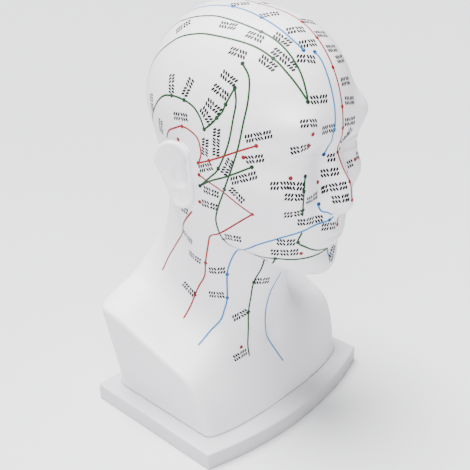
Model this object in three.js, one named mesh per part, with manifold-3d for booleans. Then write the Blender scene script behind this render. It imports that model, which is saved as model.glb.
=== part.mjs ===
// Life-size demonstration head on a plain bust, standing on its own plate.
// Millimetres, +Z up, the face looks along -Y, and the origin is the middle of the plate's underside.
import * as THREE from 'three';
import { mergeVertices } from 'three/addons/utils/BufferGeometryUtils.js';
import Module from 'manifold-3d';

// Plate: a rectangle whose front edge bulges as an arc
const PLATE_WIDTH = 229;
const PLATE_DEPTH = 154;
const PLATE_BULGE = 18.5;
const PLATE_THICKNESS = 17;
const PLATE_EDGE = 1.5;
const SEAM = 0.3;

// Head: places on it are measured to the side (s), forward (f) and up (u) from a point level with
// the chin, on the line through both ears
const HEAD_Y = -21;
const CHIN_Z = 160;

// Bust block: walls that lean out, with a small flare at the foot, under a top that rises from the
// chest to the shoulders
const WALL_HALF_WIDTH = 97;
const WALL_LEAN_FRONT = 0.13;
const WALL_LEAN_BACK = 0.195;
const WALL_CORNER = 9;
const FRONT_WALL_Y = -79.5;
const FRONT_WALL_BULGE = 17.5;
const FRONT_WALL_LEAN = 0.1;
const BACK_WALL_Y = 66;
const BACK_WALL_LEAN = 0.02;
const BACK_CORNER = 14;
const FOOT_FLARE = 2.5;
const FOOT_FLARE_HEIGHT = 5;
const RIDGE_ROUNDING = 5;
const CHEST_ROLL_MIDDLE = 46;
const CHEST_ROLL_SIDE = 20;
const NECK_FILLET_BACK = 34;
const NECK_FILLET_FRONT = 60;

// Height above the chin, forward reach, backward reach, half width, where it is widest, squareness
const FACE_STATIONS = [
  [-30, 60, 30, 12, 45, 2.0],
  [-12, 74, 30, 22, 45, 2.0],
  [0, 84, 30, 31, 42, 2.0],
  [14, 91.5, 35, 42, 32, 2.05],
  [30, 93, 45, 51, 20, 2.1],
  [45, 94, 56, 58, 12, 2.15],
  [72, 93, 74, 66, 5, 2.3],
  [95, 91.5, 86, 69.5, 1, 2.35],
  [115, 92, 93, 71.5, -4, 2.35],
  [137, 98, 97, 74, -10, 2.2],
  [160, 97, 97, 75, -15, 2.1],
];

// Soft swellings and hollows of the face: place, reach and height, mirrored by the s coordinate
const FACE_SWELLINGS = [
  [[0, 92, 14], [14, 26, 11], 2.2],
  [[50, 62, 92], [18, 22, 12], 2.6],
  [[64, 22, 97], [14, 34, 7], 1.2],
  [[56, 44, 62], [16, 24, 16], -2.2],
  [[66, 50, 130], [14, 18, 16], -2.0],
  [[54, 14, 42], [16, 18, 14], 2.2],
  [[24, 95, 135], [15, 24, 7], 2.0],
  [[44, 84, 137], [14, 24, 8], 2.0],
  [[30, 84, 72], [8, 20, 12], 1.2],
  [[43, 90, 148], [19, 26, 13], 9.5],
  [[42, 88, 94], [18, 26, 19], 10.5],
  [[45, 86, 126], [12, 24, 6], 4.5],
];
const EYE_HOLLOWS = [
  [[17, 93, 122], [9, 22, 9], -4.0],
  [[38, 90, 125], [15, 22, 6], -1.2],
  [[20, 92, 108], [10, 22, 8], -1.2],
];
const EYE = [31, 74.5, 116.5];
const EYE_REACH = [14.6, 13.2, 12.4];
const LIDS = { halfWidth: 14, upper: 4.4, lower: 3, step: 1.1, edge: 0.4 };
const LID_CREASE = { height: 8.4, depth: 0.7, width: 1.6 };

// Nose, skull, neck and the folds of the ear: how each form is added, the fillet, the form and its sizes
const NOSE = [
  [join, 1, rod, [0, 84.5, 120], [0, 98, 90], 6.5, 8],
  [join, 6, rod, [0, 97.5, 89], [0, 104, 80.5], 7.5, 8],
  [join, 8, ball, [0, 98.5, 92.5], [6.5, 11, 12]],
  [join, 6, ball, [11, 93, 76.5], [6, 9.5, 7]],
  [join, 8, ball, [0, 86, 93], [14.5, 13, 25], -12],
  [join, 4, rod, [0, 104, 75.5], [0, 95, 70.5], 3.4, 3.6],
];
const SKULL = [
  [join, 1, ball, [0, -15, 142], [75, 82, 86]],
  [join, 16, ball, [0, 29, 138], [65, 69.5, 85]],
];
const NOSTRIL = [[cut, 2, ball, [6, 98.5, 69], [2.4, 4.4, 3.4], -15]];
const NECK = [
  [join, 1, rod, [0, -16, 60], [0, -34, -60], 54, 54],
  [join, 18, rod, [54, -18, 70], [21, 11, -60], 14, 11.5],
  [join, 24, rod, [0, 15, 8], [0, 5, -62], 24, 20],
  [join, 20, rod, [14, -51, 60], [20, -50, -10], 18.5, 24],
];
const EAR_FOLDS = [
  [join, 6, ball, [-5, -2, -7], [12, 17, 8]],
  [cut, 3, ball, [-5.5, -4, 3], [7.5, 9.5, 6.5]],
  [cut, 3, ball, [-6, 9, 4.5], [7, 6, 4.5]],
  [join, 3, ball, [-14, -5, 0.5], [3.6, 6.5, 3.2]],
  [join, 3, ball, [-7, -15.5, 1], [5, 3.5, 2.8]],
  [join, 3, ball, [-8, -24, 0], [7.5, 7.5, 3.4]],
];

// Mouth: the swelling under the lips, their line, their heights, and the hollows round them
const MUZZLE = [[0, 92, 56], [24, 30, 14], 6];
const LIP_LINE = 46.2;
const LIP_HALF_WIDTH = 25;
const UPPER_LIP = { height: 6.6, swell: 1.6, middle: 0.42, spread: 0.75 };
const LOWER_LIP = { height: 9, swell: 2.3, middle: 0.46, spread: 0.72 };
const LIP_GROOVE = { depth: 0.9, width: 1.3, reach: 22 };
const MOUTH_CORNER = [[26, 88.5, 46.5], [4, 14, 4], -1.2];
const NOSE_GROOVE = { depth: 0.9, width: 3.2, middle: 60, height: 5.5 };
const CHIN_HOLLOW = [[0, 94, 31], [18, 24, 6], -2.8];

const EAR_ROOT = [77, -14, 98];
const EAR_TURN = 24;
const EAR_LEAN = 6;
const EAR_UPPER = { at: [0, 10.5], radius: 16 };
const EAR_LOBE = { at: [-5.5, -20.5], radius: 11 };

// Chest and shoulder top: its height against y, and how the muscle to the neck lifts it against s
const CHEST_TOP = [
  [-84, 34],
  [-74, 44],
  [-62, 55],
  [-53, 63.5],
  [-45, 71],
  [-36, 76.5],
  [-24, 81],
  [-10, 87],
  [2, 92.5],
  [13, 98],
  [24, 104],
  [36, 110],
  [48, 114],
  [60, 116.5],
  [80, 118],
];
const SHOULDER_SLOPE = [
  [-10, 38],
  [22, 38],
  [32, 37],
  [40, 33],
  [47, 28.5],
  [59, 21],
  [72, 13.5],
  [89, 7],
  [107, 0],
  [125, -3],
];

// The ends of the collar bones and the notch between them
const CHEST_SWELLINGS = [
  [[17, 34, -82], [9, 14, 9], 1.5],
  [[0, 36, -80], [11, 22, 16], -3.5],
];

// Fineness of the facets: how far one may stray from the surface, in all and on the face, the shortest
// edge that is halved, where the splitting starts, and the first ball's divisions
const FACE_FROM = [52, -75, 178];
const BODY_FACETS = {
  stray: 0.66,
  faceStray: 0.21,
  shortest: 3.4,
  lowest: 10,
  across: 32,
  down: 30,
  rounds: 5,
};
const EAR_FACETS = { stray: 0.25, shortest: 2.6, lowest: -99, across: 18, down: 14, rounds: 3 };

const { abs, atan2, asin, cos, exp, hypot, max, min, PI, sin, sqrt, tan } = Math;
const radians = THREE.MathUtils.degToRad;

// Shape functions: each gives about the distance to a surface, negative inside
function ball([s, f, u], [cs, cf, cu], [rs, rf, ru], tilt = 0) {
  const a = s - cs;
  const lean = radians(tilt);
  const b = (f - cf) * cos(lean) + (u - cu) * sin(lean);
  const h = (u - cu) * cos(lean) - (f - cf) * sin(lean);
  const near = hypot(a / rs, b / rf, h / ru);
  const steep = hypot(a / rs ** 2, b / rf ** 2, h / ru ** 2) + 1e-9;
  return (near * (near - 1)) / steep;
}

function rod([s, f, u], a, b, startRadius, endRadius) {
  const d = [b[0] - a[0], b[1] - a[1], b[2] - a[2]];
  const along = (s - a[0]) * d[0] + (f - a[1]) * d[1] + (u - a[2]) * d[2];
  const t = min(max(along / (d[0] ** 2 + d[1] ** 2 + d[2] ** 2), 0), 1);
  const away = hypot(s - a[0] - t * d[0], f - a[1] - t * d[1], u - a[2] - t * d[2]);
  return away - (startRadius + (endRadius - startRadius) * t);
}

function join(a, b, fillet) {
  const h = max(fillet - abs(a - b), 0) / fillet;
  return min(a, b) - (h * h * fillet) / 4;
}

function cut(a, b, fillet) {
  return -join(-a, b, fillet);
}

function both(a, b, fillet) {
  return -join(-a, -b, fillet);
}

function assemble(rows, p, distance = Infinity) {
  return rows.reduce((d, [add, fillet, form, ...sizes]) => add(d, form(p, ...sizes), fillet), distance);
}

const bell = (t) => exp(-t * t);
const fade = (t) => 1 / (1 + exp(-min(max(t, -30), 30)));

function ease(t) {
  const k = min(max(t, 0), 1);
  return k * k * (3 - 2 * k);
}

function swell(distance, [s, f, u], [[cs, cf, cu], [rs, rf, ru], height]) {
  return distance - height * bell((s - cs) / rs) * bell((f - cf) / rf) * bell((u - cu) / ru);
}

// A smooth curve through stations, held level past both ends
function through(stations, at, column) {
  const last = stations.length - 1;
  const x = min(max(at, stations[0][0]), stations[last][0]);
  let i = 0;
  while (i < last - 1 && x >= stations[i + 1][0]) i += 1;
  const span = (k) => stations[k + 1][0] - stations[k][0];
  const rise = (k) => (stations[k + 1][column] - stations[k][column]) / span(k);
  const slope = (k) => {
    if (k === 0) return rise(0);
    if (k === last) return rise(last - 1);
    return (rise(k - 1) * span(k) + rise(k) * span(k - 1)) / (span(k - 1) + span(k));
  };
  const h = span(i);
  const t = (x - stations[i][0]) / h;
  const start = stations[i][column] * (1 + 2 * t) * (1 - t) ** 2 + h * slope(i) * t * (1 - t) ** 2;
  return start + stations[i + 1][column] * t * t * (3 - 2 * t) + h * slope(i + 1) * t * t * (t - 1);
}

// Level sections of face and jaw, each a rounded form with its own reach to front, back and side
function faceBlock([s, f, u]) {
  const [front, back, half, widest, square] = [1, 2, 3, 4, 5].map((k) => through(FACE_STATIONS, u, k));
  const ahead = f > widest;
  const n = ahead ? square : 2;
  const a = max(s / half, 1e-4);
  const b = max(ahead ? (f - widest) / (front - widest) : (widest - f) / (widest + back), 1e-4);
  const g = (a ** n + b ** n) ** (1 / n);
  return (hypot(s, f - widest) * (g - 1)) / max(g, 0.3);
}

// Eyeball under its lids, with a shallow almond opening and a crease over the upper lid
function addEye(distance, p) {
  const [s, f, u] = p;
  const front = fade((f - 60) / 3);
  let d = EYE_HOLLOWS.reduce((before, hollow) => swell(before, p, hollow), distance);
  d = join(d, ball(p, EYE, EYE_REACH), 9);
  const t = (s - EYE[0]) / LIDS.halfWidth;
  const arc = max(1 - t * t, 0) ** 0.75;
  const middle = EYE[2] + 0.3 + 0.6 * t;
  const gap = max(u - middle - LIDS.upper * arc, middle - LIDS.lower * arc - u);
  d += LIDS.step * fade(-gap / LIDS.edge) * fade((0.95 - abs(t)) / 0.03) * front;
  const crease = u - middle - LID_CREASE.height * max(1 - (t / 1.25) ** 2, 0) ** 0.6 + 0.3;
  return d + LID_CREASE.depth * bell(crease / LID_CREASE.width) * bell(t / 0.95) * front;
}

// Closed lips as a low relief over the swelling of the mouth, with the groove under the nose
function addMouth(distance, p) {
  const [s, f, u] = p;
  const front = fade((f - 70) / 4);
  let d = swell(distance, p, MUZZLE);
  const line = LIP_LINE - 0.8 * bell(s / 5) + 0.9 * (s / LIP_HALF_WIDTH) ** 2;
  const arc = max(1 - (s / LIP_HALF_WIDTH) ** 2, 0);
  const over = (u - line) / (UPPER_LIP.height * arc ** 0.7 - 0.9 * bell(s / 3) + 0.6);
  const under = (line - u) / (LOWER_LIP.height * arc ** 0.7 + 0.6);
  const [lip, along] = u > line ? [UPPER_LIP, over] : [LOWER_LIP, under];
  const full = max(1 - ((along - lip.middle) / lip.spread) ** 2, 0) ** 1.2;
  d -= lip.swell * full * arc ** 0.8 * front;
  d += LIP_GROOVE.depth * bell((u - line) / LIP_GROOVE.width) * bell(s / LIP_GROOVE.reach) ** 2 * front;
  d = swell(d, p, MOUTH_CORNER);
  const groove = bell(s / NOSE_GROOVE.width) * bell((u - NOSE_GROOVE.middle) / NOSE_GROOVE.height);
  return swell(d + NOSE_GROOVE.depth * groove * front, p, CHIN_HOLLOW);
}

// Skull over face and jaw, cut off below by the slanting underside of the jaw
function headForm(p) {
  const [, f, u] = p;
  const skull = assemble(SKULL, p);
  const blend = ease((u - 118) / 44);
  let d = faceBlock(p) * (1 - blend) + skull * blend;
  const underJaw = ((82 - f) * 0.5 + 4.5 - u) * 0.89;
  d = both(d, underJaw, 16);
  d = FACE_SWELLINGS.reduce((before, swelling) => swell(before, p, swelling), d);
  const nose = assemble(NOSE, p);
  return addMouth(assemble(NOSTRIL, p, join(addEye(d, p), nose, 7)), p);
}

// Neck with the strands from behind the ears to the collar bones, the throat and the nape
function neckForm(p) {
  return both(assemble(NECK, p), HEAD_Y - p[1] - BACK_WALL_Y + 3, 12);
}

function bustTop(s, y) {
  return through(CHEST_TOP, y, 1) + through(SHOULDER_SLOPE, s, 1) * ease((y + 12) / 62);
}

function bustForm(p, y, z, neck) {
  const [s] = p;
  const along = (bustTop(s, y + 1) - bustTop(s, y - 1)) / 2;
  const across = (bustTop(s + 1, y) - bustTop(s - 1, y)) / 2;
  let top = (z - bustTop(s, y)) / hypot(1, along, across);
  const fillet = NECK_FILLET_BACK + (NECK_FILLET_FRONT - NECK_FILLET_BACK) * ease((20 - y) / 55);
  top = join(top, neck, fillet);
  top = CHEST_SWELLINGS.reduce((before, swelling) => swell(before, p, swelling), top);

  const rise = z - PLATE_THICKNESS;
  const flare = FOOT_FLARE * exp(-max(rise, 0) / FOOT_FLARE_HEIGHT);
  const lean = WALL_LEAN_FRONT + (WALL_LEAN_BACK - WALL_LEAN_FRONT) * ease((y + 50) / 110);
  const side = (s - WALL_HALF_WIDTH - lean * rise - flare) * 0.97;
  const bulge = FRONT_WALL_BULGE * (s / WALL_HALF_WIDTH) ** 2;
  const front = (FRONT_WALL_Y + bulge + FRONT_WALL_LEAN * rise - flare - y) * 0.97;
  const back = y - BACK_WALL_Y - BACK_WALL_LEAN * rise - flare;

  const sideways = min(s / WALL_HALF_WIDTH, 1) ** 2;
  top = both(top, front, CHEST_ROLL_MIDDLE + (CHEST_ROLL_SIDE - CHEST_ROLL_MIDDLE) * sideways);
  const walls = both(both(side, front, WALL_CORNER), back, BACK_CORNER);
  return max(both(top, walls, RIDGE_ROUNDING), -z);
}

function bodyForm([x, y, z]) {
  const s = sqrt(x * x + 2);
  const p = [s, HEAD_Y - y, z - CHIN_Z];
  const neck = neckForm(p);
  return join(join(headForm(p), neck, 30), bustForm(p, y, z, neck), 6);
}

// Outer ear in its own frame: back, up and out from the cheek, an egg-shaped dish with a rolled rim
function earEdge(back, up) {
  const d = [EAR_LOBE.at[0] - EAR_UPPER.at[0], EAR_LOBE.at[1] - EAR_UPPER.at[1]];
  const along = (back - EAR_UPPER.at[0]) * d[0] + (up - EAR_UPPER.at[1]) * d[1];
  const t = min(max(along / (d[0] ** 2 + d[1] ** 2), 0), 1);
  const radius = EAR_UPPER.radius + (EAR_LOBE.radius - EAR_UPPER.radius) * t;
  return hypot(back - EAR_UPPER.at[0] - t * d[0], up - EAR_UPPER.at[1] - t * d[1]) - radius;
}

function earForm(p) {
  const [back, up, out] = p;
  const edge = earEdge(back, up);
  const dished = out + 0.5 - 0.01 * (back ** 2 + (0.6 * up) ** 2);
  const rimRadius = 3.1 - 1.2 * ease((-12 - up) / 14);
  let d = both(edge + 1, abs(dished) - 2.2, 3);
  d = join(d, hypot(edge + rimRadius, dished - 1.4) - rimRadius, 2.5);
  let innerFold = hypot(edge + 10.5, dished - 0.8) - 2.6;
  innerFold = both(both(innerFold, -back - 3, 2), -up - 15, 2);
  return assemble(EAR_FOLDS, p, join(d, innerFold, 4));
}

// A point of the ear's frame in the part's own coordinates, side +1 or -1
function earToPart([back, up, out], side) {
  const [turn, lean] = [radians(EAR_TURN), radians(EAR_LEAN)];
  const level = back * cos(turn) - out * sin(turn);
  const sideways = back * sin(turn) + out * cos(turn);
  const rear = level * cos(lean) + up * sin(lean);
  const height = up * cos(lean) - level * sin(lean);
  const x = side * (EAR_ROOT[0] + sideways);
  return [x, HEAD_Y - EAR_ROOT[1] + rear, CHIN_Z + EAR_ROOT[2] + height];
}

// Rays from a spine inside head and bust. Latitude on the starting ball picks the spine height and
// the ray's climb: they fan from the bust, slide up the neck, dip under the jaw and fan from the head.
// The last value is how far out the form can lie there.
const SPINE = [
  [-90, 45, -90, 150],
  [-62, 45, -12, 150],
  [-42, 45, 43, 132],
  [-39, 45, 50, 98],
  [-26, 150, 0, 98],
  [-6, 285, -50, 100],
  [0, 285, -43, 114],
  [8, 285, -33, 128],
  [90, 285, 90, 128],
];

const SPINE_HEAD_Y = -9;

function bodyRay([nx, ny, nz]) {
  const latitude = THREE.MathUtils.radToDeg(asin(nz));
  let i = 0;
  while (i < SPINE.length - 2 && latitude > SPINE[i + 1][0]) i += 1;
  const [low, high] = [SPINE[i], SPINE[i + 1]];
  const t = (latitude - low[0]) / (high[0] - low[0]);
  const height = low[1] + (high[1] - low[1]) * t;
  let climb = radians(low[2] + (high[2] - low[2]) * t);
  if (high[1] > low[1]) {
    const slope = tan(radians(low[2])) + (tan(radians(high[2])) - tan(radians(low[2]))) * t;
    climb = atan2(slope, 1);
  }
  const around = atan2(ny, nx);
  const forward = SPINE_HEAD_Y * ease((height - 150) / 135);
  const direction = [cos(climb) * cos(around), cos(climb) * sin(around), sin(climb)];
  const reach = min((low[3] + (high[3] - low[3]) * t) / max(cos(climb), 0.01), 230);
  return { origin: [0, forward, height], direction, reach };
}

// Rays from a dished sheet inside the ear, turning outward towards its edge
function earRay([nx, ny, nz]) {
  const lean = atan2(EAR_UPPER.at[0] - EAR_LOBE.at[0], EAR_UPPER.at[1] - EAR_LOBE.at[1]);
  const radial = hypot(nx, ny);
  const spread = min(radial / 0.9, 1) / max(radial, 1e-6);
  const across = 11.5 * nx * spread;
  const up = 23 * ny * spread;
  const place = [-1 + across * cos(lean) + up * sin(lean), up * cos(lean) - across * sin(lean)];
  const bowl = exp(-((place[0] + 5.5) ** 2 + (0.7 * (place[1] + 1)) ** 2) / 9 ** 2);
  const depth = -0.5 + 0.01 * (place[0] ** 2 + (0.6 * place[1]) ** 2) - 5.5 * bowl;
  const turn = ease((radial - 0.75) / 0.25);
  const d = new THREE.Vector3(turn * nx, turn * ny, nz).normalize();
  const direction = [d.x * cos(lean) + d.y * sin(lean), d.y * cos(lean) - d.x * sin(lean), d.z];
  return { origin: [place[0], place[1], depth], direction, reach: 34 };
}

// Where a ray leaves the form: stepped inward from its reach, then halved
function surfacePoint(form, { origin, direction, reach }) {
  const at = (t) => direction.map((d, i) => origin[i] + d * t);
  let outside = reach;
  let inside = reach;
  while (inside > 0) {
    const d = form(at(inside));
    if (d < 0) break;
    outside = inside;
    inside -= max(d * 0.6, 0.5);
  }
  inside = max(inside, 0.2);
  for (let k = 0; k < 18; k += 1) {
    const middle = (inside + outside) / 2;
    if (form(at(middle)) < 0) inside = middle;
    else outside = middle;
  }
  return at((inside + outside) / 2);
}

const onFace = ([x, y, z]) => y < FACE_FROM[1] && z > FACE_FROM[2] && abs(x) < FACE_FROM[0];

// A starting ball drawn onto a form, its edges split wherever a facet strays from the surface
function wrap(form, ray, { stray, faceStray = stray, shortest, lowest, across, down, rounds }) {
  const ball = new THREE.SphereGeometry(1, across, down).rotateX(PI / 2);
  ball.deleteAttribute('normal');
  ball.deleteAttribute('uv');
  const start = mergeVertices(ball, 1e-5);
  const { array } = start.attributes.position;
  const normals = [];
  for (let i = 0; i < array.length; i += 3) {
    normals.push(new THREE.Vector3(array[i], array[i + 1], array[i + 2]).normalize().toArray());
  }
  const points = normals.map((n) => surfacePoint(form, ray(n)));
  let faces = [];
  for (let i = 0; i < start.index.count; i += 3) {
    faces.push([0, 1, 2].map((k) => start.index.array[i + k]));
  }

  for (let round = 0; round < rounds; round += 1) {
    const middles = new Map();
    const key = (a, b) => min(a, b) * 1e6 + max(a, b);
    for (const face of faces) {
      face.forEach((a, k) => {
        const b = face[(k + 1) % 3];
        if (middles.has(key(a, b))) return;
        middles.set(key(a, b), -1);
        const [p, q] = [points[a], points[b]];
        const length = hypot(p[0] - q[0], p[1] - q[1], p[2] - q[2]);
        if (length < shortest || max(p[2], q[2]) < lowest) return;
        const strays = [0.25, 0.5, 0.75].map((t) => abs(form(p.map((v, i) => v + (q[i] - v) * t))));
        if (max(...strays) < (onFace(p) ? faceStray : stray)) return;
        const n = new THREE.Vector3(...normals[a]).add(new THREE.Vector3(...normals[b])).normalize();
        normals.push(n.toArray());
        points.push(surfacePoint(form, ray(n.toArray())));
        middles.set(key(a, b), points.length - 1);
      });
    }
    const before = faces.length;
    faces = faces.flatMap((face) => splitFace(face, points, (a, b) => middles.get(key(a, b))));
    if (faces.length === before) break;
  }
  return { points, faces };
}

// One, two, three or four facets in place of one, by which of its edges were halved
function splitFace(face, points, middleOf) {
  const m = [0, 1, 2].map((k) => middleOf(face[k], face[(k + 1) % 3]));
  const halved = m.filter((v) => v >= 0).length;
  if (halved === 0) return [face];
  if (halved === 3) {
    const [a, b, c] = face;
    return [[a, m[0], m[2]], [m[0], b, m[1]], [m[2], m[1], c], m];
  }
  const first = halved === 1 ? m.findIndex((v) => v >= 0) : (m.findIndex((v) => v < 0) + 1) % 3;
  const [a, b, c] = [0, 1, 2].map((k) => face[(first + k) % 3]);
  const ab = m[first];
  if (halved === 1) return [[a, ab, c], [ab, b, c]];
  const bc = m[(first + 1) % 3];
  const gap = (i, j) => hypot(...points[i].map((v, k) => v - points[j][k]));
  const rest = gap(a, bc) < gap(ab, c) ? [[a, ab, bc], [a, bc, c]] : [[a, ab, c], [ab, bc, c]];
  return [[ab, b, bc], ...rest];
}

const wasm = await Module();
wasm.setup();

function solid({ points, faces }) {
  const vertProperties = new Float32Array(points.flat());
  const triVerts = new Uint32Array(faces.flat());
  return new wasm.Manifold(new wasm.Mesh({ numProp: 3, vertProperties, triVerts }));
}

function solidBox(size, centre) {
  const box = new THREE.BoxGeometry(...size).translate(...centre);
  box.deleteAttribute('normal');
  box.deleteAttribute('uv');
  const { attributes, index } = mergeVertices(box, 1e-4);
  const vertProperties = new Float32Array(attributes.position.array);
  const triVerts = new Uint32Array(index.array);
  return new wasm.Manifold(new wasm.Mesh({ numProp: 3, vertProperties, triVerts }));
}

function geometryOf(manifold) {
  const { vertProperties, triVerts } = manifold.getMesh();
  const geometry = new THREE.BufferGeometry();
  geometry.setAttribute('position', new THREE.BufferAttribute(vertProperties, 3));
  geometry.setIndex(new THREE.BufferAttribute(triVerts, 1));
  geometry.computeVertexNormals();
  return geometry;
}

function headBustGeometry() {
  const body = wrap(bodyForm, bodyRay, BODY_FACETS);
  const ear = wrap(earForm, earRay, EAR_FACETS);
  const leftEar = { points: ear.points.map((p) => earToPart(p, 1)), faces: ear.faces };
  const rightEar = {
    points: ear.points.map((p) => earToPart(p, -1)),
    faces: ear.faces.map(([a, b, c]) => [a, c, b]),
  };
  const below = solidBox([600, 600, 600], [0, 0, PLATE_THICKNESS + SEAM - 300]);
  return geometryOf(solid(body).add(solid(leftEar)).add(solid(rightEar)).subtract(below));
}

function basePlateGeometry() {
  const [half, back] = [PLATE_WIDTH / 2 - PLATE_EDGE, PLATE_DEPTH / 2 - PLATE_EDGE];
  const radius = (half ** 2 + PLATE_BULGE ** 2) / (2 * PLATE_BULGE);
  const sweep = asin(half / radius);
  const outline = new THREE.Shape();
  outline.moveTo(half, back);
  outline.lineTo(-half, back);
  outline.lineTo(-half, -back);
  outline.absarc(0, radius - back - PLATE_BULGE, radius, -PI / 2 - sweep, -PI / 2 + sweep, false);
  return new THREE.ExtrudeGeometry(outline, {
    depth: PLATE_THICKNESS - 2 * PLATE_EDGE,
    curveSegments: 16,
    bevelThickness: PLATE_EDGE,
    bevelSize: PLATE_EDGE,
    bevelSegments: 2,
  }).translate(0, 0, PLATE_EDGE);
}

function namedMesh(name, geometry) {
  const material = new THREE.MeshStandardMaterial({ color: '#e8e7ec', roughness: 0.55, metalness: 0 });
  const mesh = new THREE.Mesh(geometry, material);
  mesh.name = name;
  return mesh;
}

const model = new THREE.Group();
model.add(namedMesh('head_bust', headBustGeometry()));
model.add(namedMesh('base_plate', basePlateGeometry()));

export default model;
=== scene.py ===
import math

import bmesh
import bpy
import numpy as np
from mathutils import Matrix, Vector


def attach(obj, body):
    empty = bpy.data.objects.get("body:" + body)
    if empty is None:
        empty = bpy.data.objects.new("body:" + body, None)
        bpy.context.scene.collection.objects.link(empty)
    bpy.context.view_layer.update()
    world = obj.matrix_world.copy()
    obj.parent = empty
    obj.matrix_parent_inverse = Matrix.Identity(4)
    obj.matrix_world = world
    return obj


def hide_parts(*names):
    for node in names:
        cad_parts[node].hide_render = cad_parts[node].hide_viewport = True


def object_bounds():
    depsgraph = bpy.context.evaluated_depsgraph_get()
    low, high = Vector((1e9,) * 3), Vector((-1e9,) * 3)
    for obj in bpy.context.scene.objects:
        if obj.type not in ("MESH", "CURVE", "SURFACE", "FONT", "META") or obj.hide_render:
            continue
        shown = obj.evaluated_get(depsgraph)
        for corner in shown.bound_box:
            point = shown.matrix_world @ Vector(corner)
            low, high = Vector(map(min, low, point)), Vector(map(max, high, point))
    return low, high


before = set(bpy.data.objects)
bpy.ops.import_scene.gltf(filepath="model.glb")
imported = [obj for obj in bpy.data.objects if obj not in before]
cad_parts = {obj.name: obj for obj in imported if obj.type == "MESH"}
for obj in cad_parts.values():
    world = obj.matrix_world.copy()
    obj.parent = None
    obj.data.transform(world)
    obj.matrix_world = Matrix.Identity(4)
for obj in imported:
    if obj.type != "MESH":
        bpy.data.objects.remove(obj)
cad_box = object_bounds()

# Head and bust: one hollow moulding in white matt PVC, cast in a split mould, with the ears and
# the closed face moulded in. The skin is drawn onto the same named form as the solid, more finely.
MM = 0.001
HEAD_Y = -21
CHIN_Z = 160
PLATE_THICKNESS = 17
SEAM = 0.3

# Softens the crease where the two mirrored halves meet
MIDLINE_ROUNDING = 2

# Bust block: where its walls stand at the foot, how far each leans out per millimetre of height, its
# round edges, and the fillets up to the neck. A blend starts at one value of y and runs over a span,
# and WALL_SQUARE makes a level distance square to the lean.
WALL_HALF_WIDTH = 97
WALL_LEAN_FRONT = 0.13
WALL_LEAN_BACK = 0.195
WALL_BLEND_START = -50
WALL_BLEND_SPAN = 110
WALL_SQUARE = 0.97
WALL_CORNER = 9
FRONT_WALL_Y = -79.5
FRONT_WALL_BULGE = 17.5
FRONT_WALL_LEAN = 0.1
BACK_WALL_Y = 66
BACK_WALL_LEAN = 0.02
BACK_CORNER = 14
FOOT_FLARE = 2.5
FOOT_FLARE_HEIGHT = 5
RIDGE_ROUNDING = 5
CHEST_ROLL_MIDDLE = 46
CHEST_ROLL_SIDE = 20
NECK_FILLET_BACK = 34
NECK_FILLET_FRONT = 60
FILLET_BLEND_START = 20
FILLET_BLEND_SPAN = 55
SHOULDER_BLEND_START = -12
SHOULDER_BLEND_SPAN = 62
HEAD_FILLET = 30
BUST_FILLET = 6

# Height above the chin, forward reach, backward reach, half width, where it is widest, squareness
FACE_STATIONS = [
    [-30, 60, 30, 12, 45, 2.0],
    [-12, 74, 30, 22, 45, 2.0],
    [0, 84, 30, 31, 42, 2.0],
    [14, 91.5, 35, 42, 32, 2.05],
    [30, 93, 45, 51, 20, 2.1],
    [45, 94, 56, 58, 12, 2.15],
    [72, 93, 74, 66, 5, 2.3],
    [95, 91.5, 86, 69.5, 1, 2.35],
    [115, 92, 93, 71.5, -4, 2.35],
    [137, 98, 97, 74, -10, 2.2],
    [160, 97, 97, 75, -15, 2.1],
]

# Soft swellings and hollows of the face: place, reach and height
FACE_SWELLINGS = [
    [[0, 92, 14], [14, 26, 11], 2.2],
    [[50, 62, 92], [18, 22, 12], 2.6],
    [[64, 22, 97], [14, 34, 7], 1.2],
    [[56, 44, 62], [16, 24, 16], -2.2],
    [[66, 50, 130], [14, 18, 16], -2.0],
    [[54, 14, 42], [16, 18, 14], 2.2],
    [[24, 95, 135], [15, 24, 7], 2.0],
    [[44, 84, 137], [14, 24, 8], 2.0],
    [[30, 84, 72], [8, 20, 12], 1.2],
    [[43, 90, 148], [19, 26, 13], 9.5],
    [[42, 88, 94], [18, 26, 19], 10.5],
    [[45, 86, 126], [12, 24, 6], 4.5],
]
EYE_HOLLOWS = [
    [[17, 93, 122], [9, 22, 9], -4.0],
    [[38, 90, 125], [15, 22, 6], -1.2],
    [[20, 92, 108], [10, 22, 8], -1.2],
]
EYE = [31, 74.5, 116.5]
EYE_REACH = [14.6, 13.2, 12.4]
EYE_FILLET = 9
LIDS = {"half_width": 14, "upper": 4.4, "lower": 3, "step": 1.1, "edge": 0.4}
LID_CREASE = {"height": 8.4, "depth": 0.7, "width": 1.6}

# Height over the chin from which the skull takes over from the face, and the slanting cut under the jaw
SKULL_BLEND_START = 118
SKULL_BLEND_SPAN = 44
UNDER_JAW = {"reach": 82, "rise": 0.5, "height": 4.5, "square": 0.89, "fillet": 16}
NOSE_FILLET = 7

# Mouth: the swelling under the lips, their line, their heights, and the hollows round them
MUZZLE = [[0, 92, 56], [24, 30, 14], 6]
LIP_LINE = 46.2
LIP_HALF_WIDTH = 25
UPPER_LIP = {"height": 6.6, "swell": 1.6, "middle": 0.42, "spread": 0.75}
LOWER_LIP = {"height": 9, "swell": 2.3, "middle": 0.46, "spread": 0.72}
LIP_GROOVE = {"depth": 0.9, "width": 1.3, "reach": 22}
MOUTH_CORNER = [[26, 88.5, 46.5], [4, 14, 4], -1.2]
NOSE_GROOVE = {"depth": 0.9, "width": 3.2, "middle": 60, "height": 5.5}
CHIN_HOLLOW = [[0, 94, 31], [18, 24, 6], -2.8]

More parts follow.
